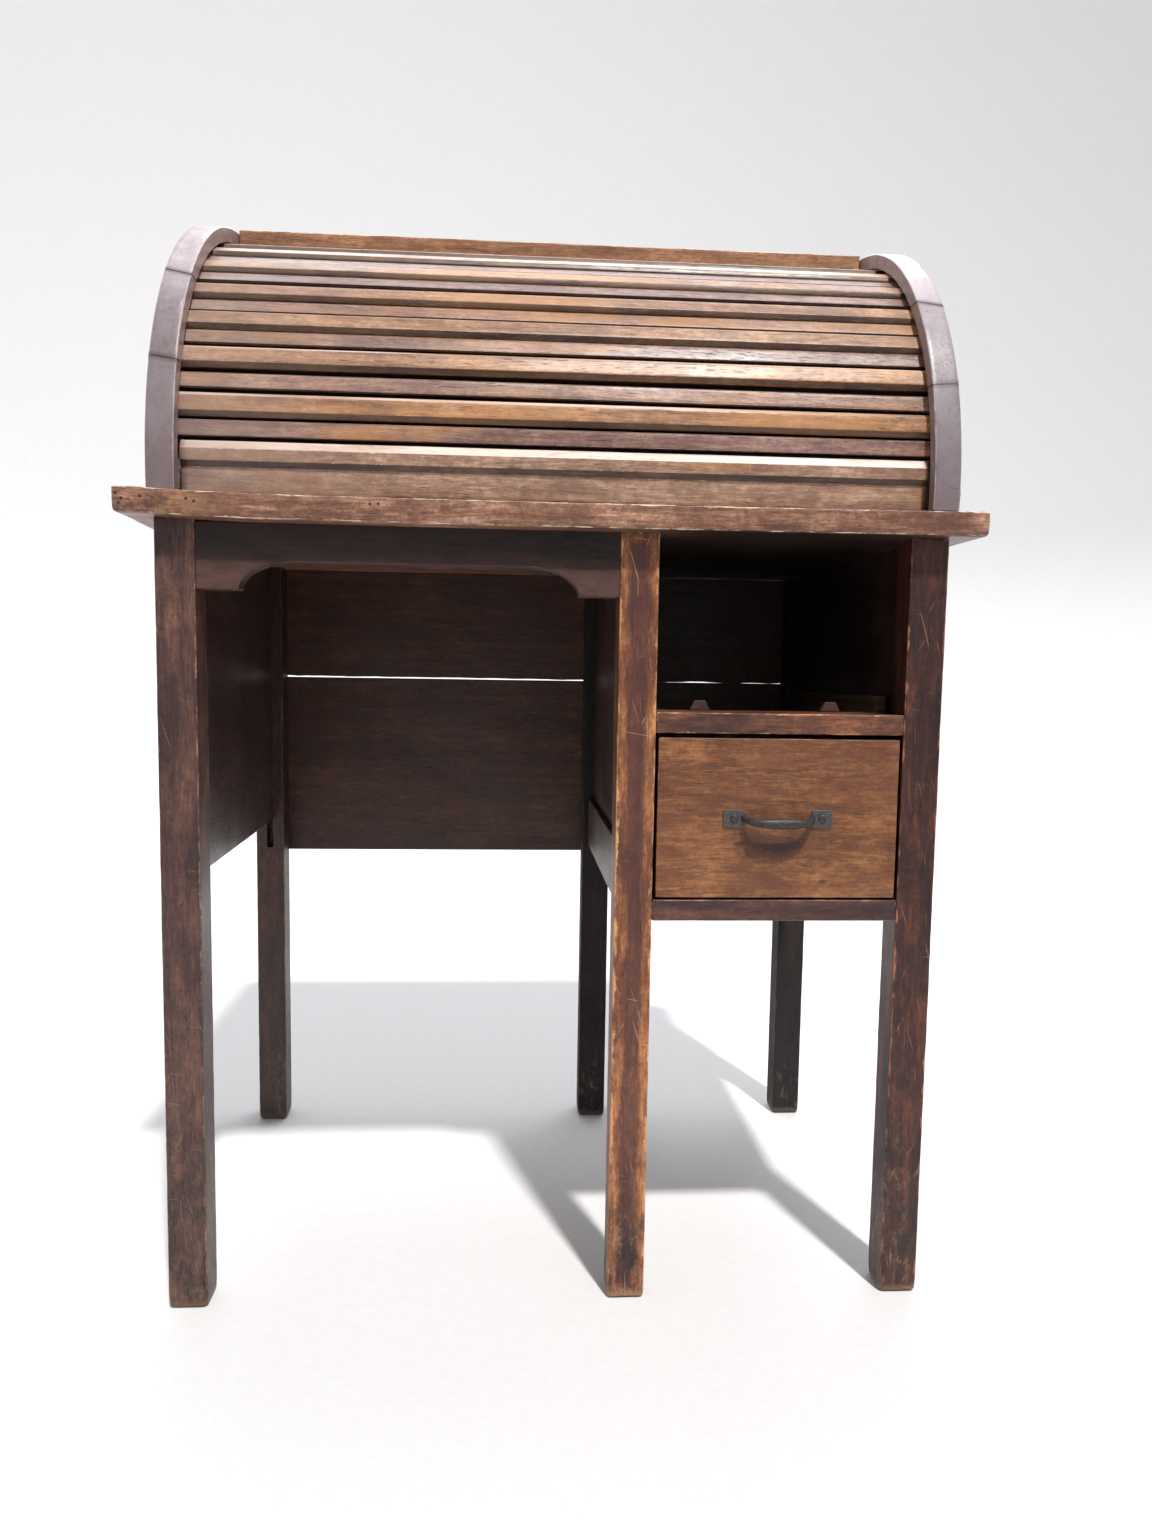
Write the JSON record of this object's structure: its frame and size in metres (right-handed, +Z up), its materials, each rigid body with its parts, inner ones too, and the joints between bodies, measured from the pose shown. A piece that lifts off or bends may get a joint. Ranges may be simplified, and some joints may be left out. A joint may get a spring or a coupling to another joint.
{
  "type": "roll top desk",
  "caption": "Small oak roll top desk with a quarter-round slatted tambour, knee space, open drawer bay and one drawer with an iron bow pull.",
  "frame": {"origin": "on the floor, under the middle of the desktop's width and depth", "axes": "+X to the sitter's right, +Y from the sitter towards the back, +Z up"},
  "size_m": [0.762, 0.495, 1.044],
  "materials": {
    "leg_wood": "worn dark-stained oak, rubbed on the corners",
    "dark_wood": "dark-stained oak, dull",
    "panel_wood": "dark-stained oak boards, satin",
    "desktop_wood": "red-brown stained oak, worn to pale wood on its edge",
    "case_wood": "red-brown stained oak with a dusty bloom",
    "slat_proud_wood": "sun-faded oak, rubbed on the bevels",
    "slat_flat_wood": "sun-faded oak, duller",
    "drawer_front_wood": "orange-brown oak with open grain and hand marks",
    "inner_wood": "unfinished secondary wood, dusty",
    "canvas": "plain woven canvas glued to the back of the slats",
    "iron": "black iron, worn dull"
  },
  "bodies": {
    "desk_frame": {"leg_front_left": "leg_wood", "leg_front_middle": "leg_wood", "leg_front_right": "leg_wood", "leg_back_left": "leg_wood", "leg_back_middle": "leg_wood", "leg_back_right": "leg_wood", "left_side_panel": "panel_wood", "partition_panel": "panel_wood", "right_side_panel": "panel_wood", "partition_rail": "dark_wood", "right_side_rail": "dark_wood", "back_board_lower": "panel_wood", "back_board_upper": "panel_wood", "apron": "dark_wood", "middle_rail": "leg_wood", "bottom_rail": "dark_wood", "drawer_stop_left": "dark_wood", "drawer_stop_right": "dark_wood", "runner_upper_left": "inner_wood", "runner_upper_right": "inner_wood", "runner_lower_left": "inner_wood", "runner_lower_right": "inner_wood", "desktop": "desktop_wood", "case_left_lower": "case_wood", "case_left_middle": "case_wood", "case_left_upper": "case_wood", "case_right_lower": "case_wood", "case_right_middle": "case_wood", "case_right_upper": "case_wood", "case_top_board": "case_wood", "case_back": "panel_wood", "case_false_back": "panel_wood"},
    "drawer": {"drawer_front": "drawer_front_wood", "drawer_side_left": "inner_wood", "drawer_side_right": "inner_wood", "drawer_back": "inner_wood", "drawer_bottom": "inner_wood", "drawer_handle": "iron", "handle_screw_left": "iron", "handle_screw_right": "iron"},
    "tambour": {"lift_rail": "slat_proud_wood", "slat_01": "slat_flat_wood", "slat_02": "slat_proud_wood", "slat_03": "slat_flat_wood", "slat_04": "slat_proud_wood", "slat_05": "slat_flat_wood", "slat_06": "slat_proud_wood", "slat_07": "slat_flat_wood", "slat_08": "slat_proud_wood", "slat_09": "slat_flat_wood", "slat_10": "slat_proud_wood", "slat_11": "slat_flat_wood", "slat_12": "slat_proud_wood", "slat_13": "slat_flat_wood", "slat_14": "slat_proud_wood", "slat_15": "slat_flat_wood", "slat_16": "slat_proud_wood", "tambour_canvas": "canvas"}
  },
  "joints": [
    {"name": "tambour_roll", "type": "hinge", "parent": "desk_frame", "child": "tambour", "pos_m": [0, 0.031, 0.7625], "axis": [-1, 0, 0], "range_deg": [0, 59]},
    {"name": "drawer_slide", "type": "slide", "parent": "desk_frame", "child": "drawer", "axis": [0, -1, 0], "range_m": [0, 0.28]}
  ]
}
